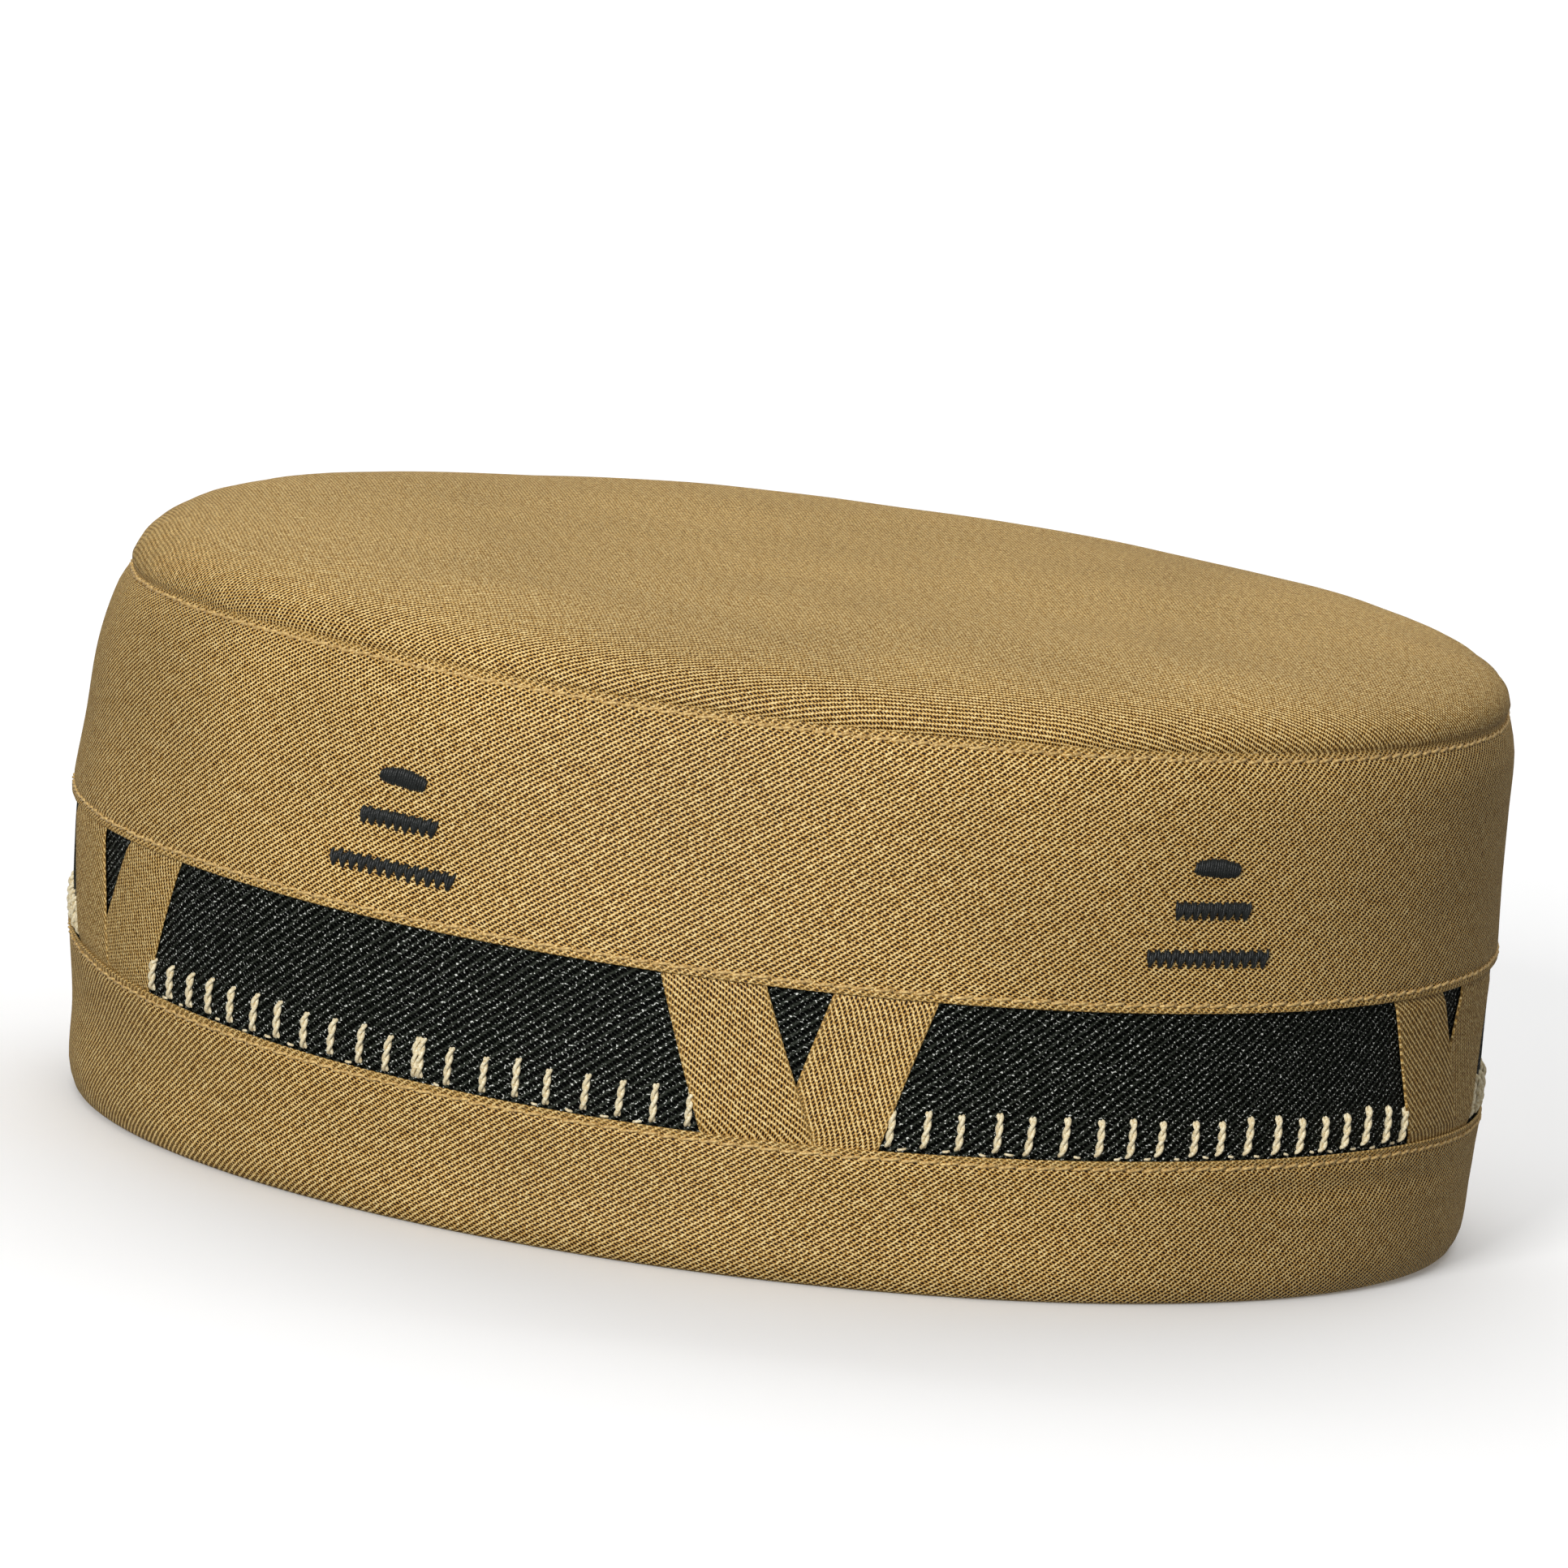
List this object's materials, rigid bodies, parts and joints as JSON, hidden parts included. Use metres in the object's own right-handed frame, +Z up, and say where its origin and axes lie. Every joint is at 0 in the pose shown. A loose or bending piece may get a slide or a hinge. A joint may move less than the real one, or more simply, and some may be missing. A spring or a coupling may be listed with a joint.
{
  "type": "kufi",
  "caption": "Round pillbox kufi cap of tan twill with a soft flat crown, a tall band, an inset dark band under slanted ribbons and a hem band.",
  "frame": {"origin": "centre of the rim, on the surface that the hat rests on", "axes": "+Z up through the crown, the front faces -Y, +X to the right as seen from the front and along the widest way"},
  "size_m": [0.1955, 0.189, 0.0821],
  "materials": {
    "tan_twill": "matte tan diagonal twill with a slight sheen",
    "dark_twill": "matte black-green diagonal twill"
  },
  "bodies": {
    "root": {"crown": "tan_twill", "tall_band": "tan_twill", "hem_band": "tan_twill", "dark_band": "dark_twill", "ribbon_left_1": "tan_twill", "ribbon_right_1": "tan_twill", "ribbon_left_2": "tan_twill", "ribbon_right_2": "tan_twill", "ribbon_left_3": "tan_twill", "ribbon_right_3": "tan_twill", "ribbon_left_4": "tan_twill", "ribbon_right_4": "tan_twill", "ribbon_left_5": "tan_twill", "ribbon_right_5": "tan_twill"}
  },
  "joints": []
}
